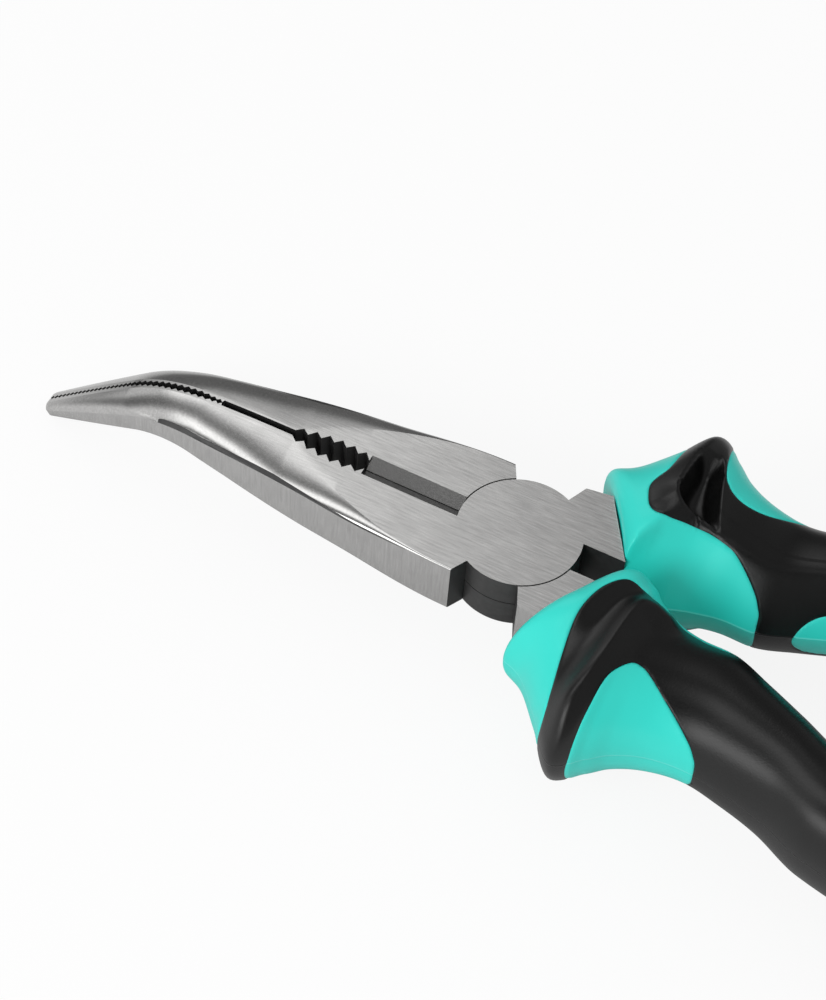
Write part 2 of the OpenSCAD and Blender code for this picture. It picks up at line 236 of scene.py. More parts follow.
def adder(tree):
    """A function that adds a node to this tree, makes its settings, and links or sets its inputs."""
    def add(kind, inputs=None, **settings):
        node = tree.nodes.new(kind)
        for key, value in settings.items():
            setattr(node, key, value)
        for key, value in (inputs or {}).items():
            if isinstance(value, bpy.types.NodeSocket):
                tree.links.new(value, node.inputs[key])
            else:
                node.inputs[key].default_value = value
        return node

    return add


def nodes_of(name):
    """A new material with only its output and a principled shader, and a way to add nodes to it."""
    material = bpy.data.materials.new(name)
    material.use_nodes = True
    tree = material.node_tree
    return material, tree, tree.nodes["Principled BSDF"], adder(tree)


def between(add, share, low, high):
    """A colour that runs from low to high, both given as red, green and blue, with a share between 0 and 1."""
    return add("ShaderNodeMix", {0: share.outputs[0], 6: (*low, 1), 7: (*high, 1)}, data_type="RGBA")


def coat(tree, shader, colour, rough, bump):
    """Gives the shader its colour, roughness and fine relief."""
    tree.links.new(colour.outputs[2], shader.inputs["Base Color"])
    tree.links.new(rough.outputs[0], shader.inputs["Roughness"])
    tree.links.new(bump.outputs[0], shader.inputs["Normal"])


def ground_steel():
    """Bare tool steel: long fine scratches on the flats, cross scratches on the sides, a polish on the round nose."""
    material, tree, shader, add = nodes_of("ground_steel")
    place = add("ShaderNodeTexCoord")
    facing = add("ShaderNodeSeparateXYZ", {0: place.outputs["Normal"]})
    upright = add("ShaderNodeMath", {0: facing.outputs["Z"]}, operation="ABSOLUTE")
    sideways = add("ShaderNodeMath", {0: facing.outputs["Y"]}, operation="ABSOLUTE")
    flat = add("ShaderNodeMapRange", {0: upright.outputs[0], 1: 0.985, 2: 0.998})
    wall = add("ShaderNodeMapRange", {0: sideways.outputs[0], 1: 0.95, 2: 0.99})
    lengthwise = add("ShaderNodeMapping", {0: place.outputs["Object"], 2: (0, 0, -0.12), 3: (240, 3000, 600)})
    crosswise = add("ShaderNodeMapping", {0: place.outputs["Object"], 2: (0, 0.1, 0), 3: (3000, 500, 260)})
    long_lines = add("ShaderNodeTexNoise", {"Vector": lengthwise.outputs[0], "Scale": 1.0, "Detail": 5.0})
    cross_lines = add("ShaderNodeTexNoise", {"Vector": crosswise.outputs[0], "Scale": 1.0, "Detail": 5.0})
    cloud = add("ShaderNodeTexNoise", {"Vector": place.outputs["Object"], "Scale": 160.0, "Detail": 3.0})
    polish = add("ShaderNodeTexNoise", {"Vector": place.outputs["Object"], "Scale": 2600.0, "Detail": 3.0})
    unground = add("ShaderNodeMix", {0: wall.outputs[0], 2: polish.outputs[0], 3: cross_lines.outputs[0]})
    smooth = add("ShaderNodeMapRange", {0: unground.outputs[0], 3: 0.27, 4: 0.73})
    lines = add("ShaderNodeMix", {0: flat.outputs[0], 2: smooth.outputs[0], 3: long_lines.outputs[0]})
    ground = add("ShaderNodeMath", {0: flat.outputs[0], 1: wall.outputs[0]}, operation="MAXIMUM")
    rough = add("ShaderNodeMapRange", {0: ground.outputs[0], 3: 0.12, 4: 0.2})
    worn = add("ShaderNodeMath", {0: lines.outputs[0], 1: 0.1, 2: rough.outputs[0]}, operation="MULTIPLY_ADD")
    tone = add("ShaderNodeMath", {0: cloud.outputs[0], 1: 0.3, 2: lines.outputs[0]}, operation="MULTIPLY_ADD")
    shade = add("ShaderNodeMapRange", {0: tone.outputs[0], 1: 0.33, 2: 0.97})
    colour = between(add, shade, (0.38, 0.377, 0.372), (0.66, 0.655, 0.646))
    depth = add("ShaderNodeMapRange", {0: ground.outputs[0], 3: 0.015, 4: 0.3})
    bump = add("ShaderNodeBump", {"Strength": depth.outputs[0], "Distance": 0.00004, "Height": lines.outputs[0]})
    coat(tree, shader, colour, worn, bump)
    shader.inputs["Metallic"].default_value = 1.0
    return material


def painted_shade_steel():
    """Painted shade: dark steel for the faces that aren't ground, such as the inner faces, cuts and walls, in place
    of the shade they lie in; slightly mottled, with a dull shine.
    """
    material, tree, shader, add = nodes_of("painted_shade_steel")
    place = add("ShaderNodeTexCoord")
    grain = add("ShaderNodeTexNoise", {"Vector": place.outputs["Object"], "Scale": 900.0, "Detail": 6.0})
    colour = between(add, grain, (0.035, 0.035, 0.036), (0.085, 0.084, 0.083))
    rough = add("ShaderNodeMapRange", {0: grain.outputs[0], 3: 0.34, 4: 0.52})
    bump = add("ShaderNodeBump", {"Strength": 0.25, "Distance": 0.00005, "Height": grain.outputs[0]})
    coat(tree, shader, colour, rough, bump)
    shader.inputs["Metallic"].default_value = 0.7
    return material


bright = ground_steel()
dark = painted_shade_steel()

teeth = int((nose_len - teeth_at) / tooth_pitch)
jaw_stations = np.concatenate([
    flat_len * (1 - (1 - np.linspace(0, 1, 70, endpoint=False)) ** 1.4),
    np.linspace(flat_len, teeth_at - 0.2, 30),
    teeth_at + np.arange(teeth * 4) * tooth_pitch / 4,
    np.linspace(teeth_at + teeth * tooth_pitch, nose_len, 9),
])
# Pipe grip: a row of notches through the jaws
notches = 6
notch_pitch = 2.15
notch_depth = 2.4
pipe_to = -flat_len + notches * notch_pitch
# Side cutter: a bevelled groove above, a short land that meets the other jaw's, and a relief below
groove_half = 2.0
edge_depth = 1.5
edge_land = 0.6
relief_half = 1.6
relief_depth = 5.0
# Direction of the jaw's rear face, and a length past anything it is cut from
jaw_face = np.radians(118.5)
far = 60


def jaw(side):
    """The jaw on the +Y side, or its mirror image for a side of -1, with its notches, cutter and rear face cut."""
    rings = jaw_surface(jaw_stations) * [1, side, 1]
    rows, ring = rings.shape[:2]
    finish = np.zeros((rows - 1, ring), int)
    # First columns of the band with the painted dark reflection, above and below; the inner face is the last five
    # columns, in dark steel as painted shade
    over = 3 + shoulder_columns
    under = over + dark_reflection_columns + 4
    middle = (jaw_stations[1:] + jaw_stations[:-1]) / 2
    in_dark_reflection = (middle > dark_reflection_from) & (middle < dark_reflection_to)
    finish[in_dark_reflection, over:over + dark_reflection_columns] = 1
    finish[in_dark_reflection, under:under + dark_reflection_columns] = 1
    finish[:, ring - 5:] = 1
    faces = ring_faces(rows, ring)
    if side < 0:
        faces = [face[::-1] for face in faces]
    piece = new_piece("jaw", rings, faces, [bright, dark], np.append(finish.ravel(), [0, 0]))

    # The cut walls of the notches, the cutter's groove and the rear face take the dark steel: painted shade.
    i = np.arange(2 * notches + 1)
    swell = 0.45 + 0.55 * np.sin(np.pi * (i + 0.5) / (2 * notches + 4))
    notch_y = np.maximum(notch_depth * swell - (i % 2 == 0), slit_w / 2)
    edge = np.stack([-flat_len + i * notch_pitch / 2, notch_y], -1)
    pipe = np.vstack([[-flat_len, -1], [pipe_to, -1], edge[::-1]]) * [1, side]
    join(piece, prism(pipe[::side], -head_t - 1, 1, dark), "DIFFERENCE")

    groove = np.array([[-1, 1], [-1, -head_t - 1], [relief_half, -head_t - 1], [relief_half, -relief_depth],
                       [jaw_gap / 2, -edge_depth - edge_land], [jaw_gap / 2, -edge_depth], [groove_half, 0],
                       [groove_half, 1]]) * [side, 1]
    # The far jaw's cutter bevel, wall 5 of the groove, is ground bright; the near jaw's stays dark steel as painted
    # shade
    bevel = [5] if side > 0 else []
    join(piece, prism(groove[::side], pipe_to, -disc_r / 2, dark, bright, (1, 2, 0), bevel, 0), "DIFFERENCE")

    rake = far * np.array([np.cos(jaw_face), np.sin(jaw_face)])
    behind = np.array([rake[1], -rake[0]])
    block = np.stack([behind - rake, behind + rake, rake, -rake]) * [1, side]
    join(piece, prism(block[::side], -far, far, dark), "DIFFERENCE")
    return piece


# Shank and tang: the grip's collar they run into, the slot between the shanks, and the shank's outer corner
grip_at = 11.75
grip_slant = 0.65
collar_mid = 10.5
mould_gap = 0.1
slot_half = 2.7
shank_y = 13.2
shoulder_r = 13.7
shoulder = np.radians(66)
tang_half_t = 3.5
# The rivet that the hole is made for
rivet_r = 3.0
rivet_head_r = 4.5
rivet_head_h = 1.6
rivet_base = -head_t + 0.1
rivet_top = -1.5
rivet_gap = 0.05


def collar_x(y):
    """Where the slanted front of the grip's collar lies at a distance y from the middle."""
    return grip_at - grip_slant * (y - collar_mid)


def forging(name, side):
    """One steel half: jaw on one side, shank and tang on the other, a cut for the other half's disc, its own disc."""
    piece = jaw(side)
    piece.name = name
    # The walls of the shank, tang, disc and holes are dark steel as painted shade; the caps of shank and disc and the
    # shank's outer wall are ground bright.
    corner = np.array([np.cos(shoulder), np.sin(shoulder)])
    shank = np.array([disc_r / 2 * corner, [disc_r / 2, slot_half],
                      [collar_x(slot_half) - mould_gap, slot_half],
                      [collar_x(shank_y) - mould_gap, shank_y], shoulder_r * corner]) * [1, -side]
    # The shank's slanted outer wall, counted along the outline in the direction that it is drawn
    outer = 0 if side > 0 else 3
    join(piece, prism(shank[::-side], -head_t, 0, dark, bright, ground=[outer]), "UNION")
    neck = collar_x(shank_y) - 2
    tang = np.array([[neck, 4.5], [15, 7], [40, 10], [60, 16.9], [104, 18.4], [104, 26.4], [60, 24.9],
                     [40, 18], [15, 15], [neck, 11.4]]) * [1, -side]
    join(piece, prism(tang[::-side], mid - tang_half_t, mid + tang_half_t, dark), "UNION")
    lap = mid - side * lap_gap / 2
    above, below = 1, -head_t - 1
    cut = [lap, above] if side > 0 else [below, lap]
    clear = disc_gap if side > 0 else under_gap
    join(piece, prism(circle(disc_r + clear), *cut, dark), "DIFFERENCE")
    disc = [-head_t, lap] if side > 0 else [lap, 0]
    join(piece, prism(circle(disc_r), *disc, dark, bright), "UNION")
    if side > 0:
        sink = circle(rivet_head_r + rivet_gap)
        join(piece, prism(sink, below, rivet_base + rivet_head_h, dark), "DIFFERENCE")
        join(piece, prism(circle(rivet_r + rivet_gap), below, above, dark), "DIFFERENCE")
    else:
        join(piece, prism(circle(rivet_r), below, rivet_top, dark), "DIFFERENCE")
    piece.data.set_sharp_from_angle(angle=np.radians(8))
    return piece


bottom = forging("bottom_forging", 1)
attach(bottom, "bottom")
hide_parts("bottom_half")

# Top half
# The matching forging of the same steel, with the near jaw, the upper disc of the lap joint and the far tang.
# It is laid over the bottom half disc on disc, and its own disc's ground top is the face of the joint.
top = forging("top_forging", -1)
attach(top, "top")
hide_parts("top_half")

# Rivet
# A steel rivet turned on a lathe, pressed into the top half and turning in the bottom half.
# Its head is sunk in the underside and ground flush, so nothing of it shows on top.
def turned_steel():
    """Turned steel: fine rings about the pivot, as a noise that changes only with the distance from it."""
    material, tree, shader, add = nodes_of("turned_steel")
    place = add("ShaderNodeTexCoord")
    level = add("ShaderNodeMapping", {0: place.outputs["Object"], 3: (1, 1, 0)})
    radius = add("ShaderNodeVectorMath", {0: level.outputs[0]}, operation="LENGTH")
    rings = add("ShaderNodeTexNoise", {"W": radius.outputs["Value"], "Scale": 5000.0, "Detail": 3.0},
                noise_dimensions="1D")
    colour = between(add, rings, (0.3, 0.297, 0.29), (0.48, 0.475, 0.465))
    rough = add("ShaderNodeMapRange", {0: rings.outputs[0], 3: 0.24, 4: 0.42})
    bump = add("ShaderNodeBump", {"Strength": 0.3, "Distance": 0.00004, "Height": rings.outputs[0]})
    coat(tree, shader, colour, rough, bump)
    shader.inputs["Metallic"].default_value = 1.0
    return material


def spun(profile, count=120):
    """A profile of radius and height carried round the pivot: rings of points, one for each profile point."""
    t = np.linspace(0, 2 * np.pi, count, endpoint=False)
    r, z = profile[:, :1], profile[:, 1:]
    return np.stack([r * np.cos(t), r * np.sin(t), z + 0 * t], -1)


rivet_rings = spun(np.array([[rivet_head_r - 0.25, rivet_base], [rivet_head_r, rivet_base + 0.12],
                             [rivet_r, rivet_base + rivet_head_h], [rivet_r - 0.02, rivet_top - 0.3],
                             [rivet_r - 0.3, rivet_top - 0.02]]))
rivet = new_piece("rivet", rivet_rings, ring_faces(*rivet_rings.shape[:2]), [turned_steel()])
rivet.data.set_sharp_from_angle(angle=np.radians(20))
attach(rivet, "top")
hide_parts("pivot_rivet")

# Grip cores
# Hard mint plastic, the first shot of each grip, moulded over the tang with a bed for the rubber.
# Both grips come from one mould: the near one is the far one turned over about the handles' middle line.
grip_end = 118.0
grip_cap = 7.0
half_t = 10.6
guard_y = 32.5
guard_at = 22.5
# How far the collar's lip is rounded at its sides and faces, and how far its front is hollowed
lip_side = 1.4
lip_top = 2.4
front_hollow = 0.6
# Along the handle: place, inner edge, outer edge, and how far each face stands past half the grip's thickness
grip_rows = np.array([
    [grip_at, 1.4, 18.9, -2, 0.9],
    [grip_at + 4, 1, 20.8, -0.4, 2.4],
    [guard_at - 3.2, 0.9, guard_y - 6.4, 0.7, 1.1],
    [guard_at, 1, guard_y, 0.6, 1.1],
    [guard_at + 2.7, 1.4, guard_y - 3.2, 0.7, 0.9],
    [guard_at + 5.7, 2.4, guard_y - 5.8, -0.2, 0.6],
    [33, 3.5, 24.6, -1, 0.35],
    [39, 3.8, 23.9, -1.9, 0.35],
    [45, 6.2, 24.7, -1.5, 0.35],
    [52, 9.2, 26.3, -0.8, 0.3],
    [60, 12.7, 29.5, 0, 0.2],
    [75, 15, 31.9, 0.2, 0.2],
    [90, 15.4, 31.8, -0.2, -0.2],
    [grip_end - 13, 14, 29.8, -1, -1],
    [grip_end, 12.4, 27, -1.8, -1.8],
])


def along(column, u):
    """A smooth cubic curve through one column of the rows, its slope at each row that of the rows beside it."""
    at, value = grip_rows[:, 0], grip_rows[:, column]
    before = np.maximum(np.arange(len(at)) - 1, 0)
    after = np.minimum(np.arange(len(at)) + 1, len(at) - 1)
    slope = (value[after] - value[before]) / (at[after] - at[before])
    i = np.clip(np.searchsorted(at, u, "right") - 1, 0, len(at) - 2)
    d = at[i + 1] - at[i]
    t = (u - at[i]) / d
    return (value[i] * (1 + 2 * t) * (1 - t) ** 2 + value[i + 1] * t * t * (3 - 2 * t)
            + d * slope[i] * t * (1 - t) ** 2 - d * slope[i + 1] * t * t * (1 - t))


def soft_least(a, b, k):
    """The lesser of two heights, rounded over about k where they cross."""
    return (a + b - np.sqrt((a - b) ** 2 + k * k)) / 2


def spline(points, count=8):
    """A smooth curve through given points: a cubic in each span, with slopes set by the points either side."""
    p = np.array(points, float)
    p = np.vstack([p[:1], p, p[-1:]])
    t = np.linspace(0, 1, count, endpoint=False)[None, :, None]
    a, b, c, d = (p[k:len(p) - 3 + k, None] for k in range(4))
    curve = b + (c - a) / 2 * t + (a - 2.5 * b + 2 * c - d / 2) * t ** 2 + (1.5 * (b - c) + (d - a) / 2) * t ** 3
    return np.vstack([curve.reshape(-1, 2), p[-1:]])


def away(points, line):
    """Distance of plan points from the nearest place on a line of straight pieces."""
    a = line[:-1]
    ab = line[1:] - a
    ap = points[..., None, :] - a
    share = np.clip((ap * ab).sum(-1) / np.maximum((ab * ab).sum(-1), 1e-9), 0, 1)
    return np.sqrt(((ap - share[..., None] * ab) ** 2).sum(-1)).min(-1)


def inside(points, outline):
    """Distance of plan points from a closed outline, above zero inside it and below zero outside."""
    a = outline
    ab = np.roll(outline, -1, 0) - a
    py = points[..., 1, None]
    spans = (a[:, 1] > py) != (a[:, 1] + ab[:, 1] > py)
    cross = a[:, 0] + (py - a[:, 1]) * ab[:, 0] / np.where(np.abs(ab[:, 1]) < 1e-9, 1e-9, ab[:, 1])
    odd = (spans & (points[..., 0, None] < cross)).sum(-1) % 2 == 1
    return np.where(odd, 1, -1) * away(points, np.vstack([outline, outline[:1]]))


# The thumb face's hollow lies between these two lines and below hollow_top; the left line carries a crest
hollow_top = 24.6
hollow_h = 4.0
crest_h = 1.3
hollow_left = np.vstack([spline([[19.6, 40], [19.6, 27], [19.3, 22.3], [19.1, 17.5], [19.3, 14.9], [21, 13],
                                 [24.2, 11.9], [28.3, 11.1], [36, 7]]), [[80, -20], [80, 60]]])
hollow_right = np.vstack([spline([[23.4, 40], [23.4, 26], [23.8, 23.6], [24.7, 21.2], [25.4, 18.6], [27, 14.2],
                                  [28.3, 11.1], [30, 5]]), [[-40, -20], [-40, 60]]])
# The other face's rib
rib_h = 1.8
rib_w = 2.0
rib_line = spline([[18.8, 34], [20.2, 26.5], [21.3, 22.4], [22.1, 17.4], [22.5, 12], [23.3, 8.6], [25.2, 7],
                   [27.5, 7]])
# The slanted inner panel falls from this ridge, given along and across the handle, to the grip's inner edge
panel_ridge = spline([[15.5, 3.6], [16.5, 4.9], [18.6, 7.2], [20.5, 8.8], [24.3, 10.3], [27.4, 10.5], [31.4, 10.2],
                      [37.1, 10.8], [43.3, 12.6], [52, 15], [60, 17], [75, 18.4], [90, 18.4]]).T
panel_z = 9.25
panel_round = 1.3


def rounded(u, radius):
    """How far the collar's lip is drawn in at a place u: a quarter circle of the given radius from its front."""
    lip = np.clip(1 - (u - grip_at) / radius, 0, 1)
    return radius * (1 - np.sqrt(1 - 0.9 * lip ** 2))


def grip_surface(u, a):
    """The far grip as points over place u and angle a, about its own middle plane, with the thumb face up.

    A ring is a superellipse, boxier or rounder in each quarter, drawn in to a dome at the end and rounded at the
    collar's lip. The rings lean forward at the collar. The other face gets a bell-shaped rib. The thumb face gets a
    bell-shaped crest, a hollow that is the least of its two side walls, its upper wall and its floor, and a panel
    that rises straight from the inner edge to its ridge.
    """
    inner, outer = along(1, u), along(2, u)
    thumb, inward = np.sin(a) > 0, np.cos(a) < 0
    tail = np.clip((u - grip_end + grip_cap) / grip_cap, 0, 0.9995)
    dome = np.sqrt(1 - tail ** 2)
    thumb_power = np.where(inward, 3, 2.5)
    other_power = np.where(inward, mix(6.2, 2.05, ease(u, 13, 30)), 1.95)
    power = mix(np.where(thumb, thumb_power, other_power), 2.4, ease(u, 50, 75))
    stretch = (np.abs(np.cos(a)) ** power + np.abs(np.sin(a)) ** power) ** (-1 / power)
    rise = np.abs(np.sin(a)) * stretch
    dy = ((outer - inner) / 2 - rounded(u, lip_side)) * dome * np.cos(a) * stretch
    bowed = front_hollow * (1 - np.cos(a) ** 2) * ease(u, grip_at + 5, grip_at)
    x = u - grip_slant * (1 - ease(u, grip_at, guard_at + 4)) * dy + bowed
    y = (inner + outer) / 2 + dy
    height = half_t + np.where(thumb, along(3, u), along(4, u)) - rounded(u, lip_top)

    plan = np.stack([x, y], -1)
    left, right = inside(plan, hollow_left), inside(plan, hollow_right)
    walls = soft_least(2.4 * left, 1.8 * right, 0.8)
    bowl = soft_least(1.3 * (hollow_top - y), hollow_h, 1)
    hollow = np.maximum(soft_least(walls, bowl, 0.8), 0)
    crest = crest_h * np.exp(-np.where(left > 0, left / 1.6, left / 3) ** 2) * ease(y, 9, 16) * ease(right, -2, 1)
    rib = rib_h * np.exp(-(away(plan, rib_line) / rib_w) ** 2)
    z = height * dome * rise + np.where(thumb, crest - hollow, rib) * ease(rise, 0.3, 0.8)
    panel = panel_z * (y - inner) / np.maximum(np.interp(x, *panel_ridge) - inner, 1)
    z = np.where(thumb & inward, np.maximum(soft_least(z, panel, panel_round * rise), 0), z)
    return np.stack([x, y, np.where(thumb, z, -z)], -1)


# Front edge and finger window of the rubber on each face, along and across the handle, and the palm window's slot
thumb_edge = [[17.5, guard_y + 5], [16.9, 24], [16.5, 18.6], [15.5, 16.2], [15, 14.4], [15.6, 12.3], [16.6, 10.7],
              [18, 10], [20.2, 10.1], [23, 10.7], [26.5, 10.9], [30, 10.4], [32.1, 9.7], [35.5, 7.9], [37.6, 6.3],
              [38.6, 4.2], [39, -4]]
other_edge = [[17.5, guard_y + 5], [17.3, 28.7], [16.8, 24.8], [16.1, 20], [15.6, 14.8], [16.1, 11], [17.2, 7.8],
              [19.3, 5.3], [21.6, 4.5], [24.6, 5.1], [28, 5.6], [31.5, 6.2], [34.5, 6.7], [37.3, 6.4], [38.6, 4.6],
              [38.9, 2], [39, -4]]
thumb_window = [[22.9, guard_y + 5], [23.3, 28.4], [24.6, 22.1], [26.2, 19.7], [28.4, 18.6], [31.1, 18.4],
                [33.8, 19], [36.9, 20.8], [39.5, 22.8], [40.6, 24.6], [41, 30]]
other_window = [[23.2, guard_y + 5], [23.3, 29.7], [23.5, 26], [24.1, 20.9], [26, 17.5], [27.8, 17.1], [29.7, 17.9],
                [32.8, 19.7], [36.7, 21.7], [39.5, 23.2], [40.6, 24.6], [41, 30]]
palm_from, palm_to, palm_half, palm_z = 44.2, 84.0, 4.4, -1.0
beyond = [[grip_end + 9, -4], [grip_end + 9, guard_y + 9], [20, guard_y + 9]]


def rubber(points):
    """How far inside the rubber a point of the grip lies, below zero where the mint core shows.

    Each face has its own edge and finger window, drawn from above; the two are blended across the parting line.
    The palm window is a slot on the side that faces the other handle.
    """
    flat = points[..., :2]
    face = [np.minimum(inside(flat, np.vstack([spline(edge), beyond])), -inside(flat, spline(window)))
            for edge, window in ((thumb_edge, thumb_window), (other_edge, other_window))]
    both = mix(face[1], face[0], ease(points[..., 2], -2, 2))
    x, y, z = np.moveaxis(points, -1, 0)
    slot = np.hypot(x - np.clip(x, palm_from + palm_half, palm_to - palm_half), z - palm_z) - palm_half
    middle = (along(1, x) + along(2, x)) / 2
    return np.minimum(both, np.where(y < middle - 2, slot, 99))


def place_of(rows):
    """Place along the grip of each row: close together at the collar, wider behind, and bunched in the end's dome."""
    t = np.clip(rows / (body_rows - 1), 0, 1)
    past = np.clip((rows - body_rows + 1) / cap_rows, 0, 1)
    return mix(grip_at, grip_end - grip_cap, mix(t * t, t, 0.55)) + grip_cap * np.sin(np.pi / 2 * past)


body_rows, cap_rows, grip_ring = 260, 20, 220
grip_rows_n = body_rows + cap_rows
row, column = np.meshgrid(np.arange(grip_rows_n, dtype=float), np.arange(grip_ring, dtype=float), indexing="ij")


def at_grid(row, column):
    """The grip's point at a row and column of its grid, which need not be whole numbers."""
    return grip_surface(place_of(row), column * 2 * np.pi / grip_ring)


# Grid points next to the rubber's edge are moved onto it, so the two shots meet in a clean line
depth = rubber(at_grid(row, column))
near = np.zeros(depth.shape, bool)
for axis, step in ((0, 1), (0, -1), (1, 1), (1, -1)):
    beside = np.roll(depth, step, axis)
    crossed = (depth * beside < 0) & (np.abs(depth) <= np.abs(beside))
    if axis == 0:
        crossed[0 if step == 1 else -1] = False
    near |= crossed
for turn in range(4):
    here = rubber(at_grid(row[near], column[near]))
    step = 0.02
    slope_r = (rubber(at_grid(row[near] + step, column[near])) - here) / step
    slope_c = (rubber(at_grid(row[near], column[near] + step)) - here) / step
    pull = here / np.maximum(slope_r ** 2 + slope_c ** 2, 1e-6)
    row[near] = np.clip(row[near] - np.clip(pull * slope_r, -0.3, 0.3), 0, grip_rows_n - 1)
    column[near] = column[near] - np.clip(pull * slope_c, -0.3, 0.3)
grip_points = at_grid(row, column)
zone = np.where(near, 0, np.sign(rubber(grip_points))).astype(int)
endward = np.gradient(grip_points, axis=0)
around = (np.roll(grip_points, -1, 1) - np.roll(grip_points, 1, 1)) / 2
outward = np.cross(around, endward)
# Averaged with their neighbours, the outward directions don't cross below the ridges and the hollow
for turn in range(3):
    outward = outward + np.roll(outward, 1, 1) + np.roll(outward, -1, 1)
    ends = np.pad(outward, ((1, 1), (0, 0), (0, 0)), mode="edge")
    outward = outward + ends[:-2] + ends[2:]
outward /= np.maximum(np.linalg.norm(outward, axis=-1, keepdims=True), 1e-9)

# Each square of the grid is split along the diagonal that doesn't run from rubber to mint
numbers = np.arange(grip_rows_n * grip_ring).reshape(grip_rows_n, grip_ring)
onward = np.roll(numbers, -1, 1)
square = np.stack([numbers[:-1], onward[:-1], onward[1:], numbers[1:]], -1)
zones = zone.ravel()[square]
straight = (zones[..., 0] * zones[..., 2] >= 0)[..., None]
first = np.where(straight, square[..., [0, 1, 2]], square[..., [0, 1, 3]])
second = np.where(straight, square[..., [0, 2, 3]], square[..., [1, 2, 3]])
triangles = np.concatenate([first.reshape(-1, 3), second.reshape(-1, 3)])
# Depth of the fine groove where the two shots meet, and of the bed below the rubber
seam_depth = 0.12
bed_depth = 1.5


def parting_line(add, place):
    """The fine line that the two mould halves leave: 1 on the grip's middle plane, fading a little off it."""
    apart = add("ShaderNodeSeparateXYZ", {0: place.outputs["Object"]})
    off = add("ShaderNodeMath", {0: apart.outputs["Z"], 1: -mid * MM}, operation="ADD")
    size = add("ShaderNodeMath", {0: off.outputs[0]}, operation="ABSOLUTE")
    return add("ShaderNodeMapRange", {0: size.outputs[0], 1: 0.00006, 2: 0.00016, 3: 1.0, 4: 0.0})


def mint_plastic():
    """Hard satin plastic: even colour with a faint cloudiness, a fine moulded grain, a soft clear shine, and a
    painted highlight as a lighter colour along the raised parting line.
    """
    material, tree, shader, add = nodes_of("mint_plastic")
    place = add("ShaderNodeTexCoord")
    line = parting_line(add, place)
    cloud = add("ShaderNodeTexNoise", {"Vector": place.outputs["Object"], "Scale": 70.0, "Detail": 3.0})
    grain = add("ShaderNodeTexNoise", {"Vector": place.outputs["Object"], "Scale": 2600.0, "Detail": 2.0})
    colour = between(add, cloud, (0.02, 0.62, 0.535), (0.03, 0.68, 0.59))
    # Lighter along the parting line: a painted highlight on its raised ridge
    lined = add("ShaderNodeMix", {0: line.outputs[0], 6: colour.outputs[2], 7: (0.1, 0.72, 0.64, 1)},
                data_type="RGBA")
    rough = add("ShaderNodeMapRange", {0: grain.outputs[0], 3: 0.3, 4: 0.42})
    bump = add("ShaderNodeBump", {"Strength": 0.12, "Distance": 0.00003, "Height": grain.outputs[0]})
    raised = add("ShaderNodeBump", {"Strength": 0.6, "Distance": 0.00006, "Height": line.outputs[0],
                                    "Normal": bump.outputs[0]})
    coat(tree, shader, lined, rough, raised)
    return material


def placed(points, side):
    """Grip points put on the far tang, or turned over onto the near one for a side of -1."""
    return points * [1, side, side] + [0, 0, mid]


mint = mint_plastic()
mould_sides = (("top", 1), ("bottom", -1))
core_sink = np.choose(zone + 1, [0, seam_depth, bed_depth])
core_points = grip_points - outward * core_sink[..., None]
core_faces = triangles.tolist() + ring_faces(grip_rows_n, grip_ring)[-2:]
for body, side in mould_sides:
    core = new_piece(body + "_grip_mint", placed(core_points, side), core_faces, [mint])
    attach(core, body)
    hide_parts(body + "_grip_core")

# Grip skins
# Soft black rubber, the second shot of each grip, moulded into the core's bed and flush with the mint.
# It bonds to the core, and a fine groove marks the edge where the two meet.
skin_t = 1.3


def black_rubber():
    """Soft moulded rubber: near black, matt, with a fine grain and a broad dull sheen."""
    material, tree, shader, add = nodes_of("black_rubber")
    place = add("ShaderNodeTexCoord")
    line = parting_line(add, place)
    cloud = add("ShaderNodeTexNoise", {"Vector": place.outputs["Object"], "Scale": 120.0, "Detail": 4.0})
    grain = add("ShaderNodeTexNoise", {"Vector": place.outputs["Object"], "Scale": 3200.0, "Detail": 3.0})
    colour = between(add, cloud, (0.002, 0.002, 0.002), (0.004, 0.004, 0.004))
    rough = add("ShaderNodeMapRange", {0: grain.outputs[0], 3: 0.28, 4: 0.36})
    bump = add("ShaderNodeBump", {"Strength": 0.4, "Distance": 0.00004, "Height": grain.outputs[0]})
    raised = add("ShaderNodeBump", {"Strength": 0.8, "Distance": 0.00008, "Height": line.outputs[0],
                                    "Normal": bump.outputs[0]})
    coat(tree, shader, colour, rough, raised)
    shader.inputs["Specular IOR Level"].default_value = 0.45
    return material


black = black_rubber()
# The skin is closed: an outer layer, an inner layer that faces the other way, both closed by a cap at the handle's
# end, and a rim of squares along the edges that only one triangle has
zones = zone.ravel()[triangles]
skin_triangles = triangles[(zones.min(1) >= 0) & (zones.max(1) > 0)]
used, outside = np.unique(skin_triangles, return_inverse=True)
outside = outside.reshape(-1, 3)
count = len(used)
edges = np.concatenate([outside[:, [0, 1]], outside[:, [1, 2]], outside[:, [2, 0]]])
rim = edges[~np.isin(edges @ [count, 1], edges @ [1, count])]
rim = rim[used[rim].min(1) < numbers[-1, 0]]
cap = np.searchsorted(used, numbers[-1])
skin_faces = np.vstack([outside, outside[:, ::-1] + count]).tolist() + [cap.tolist(), (cap[::-1] + count).tolist()]
skin_faces += np.hstack([rim[:, ::-1], rim + count]).tolist()
skin_sink = np.stack([np.where(zone == 0, seam_depth, 0), np.full(zone.shape, skin_t)])[..., None]
skin_points = (grip_points - outward * skin_sink).reshape(2, -1, 3)[:, used]
for body, side in mould_sides:
    skin = new_piece(body + "_grip_rubber", placed(skin_points, side), skin_faces, [black])
    skin.data.set_sharp_from_angle(angle=np.radians(60))
    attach(skin, body)
    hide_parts(body + "_grip_skin")
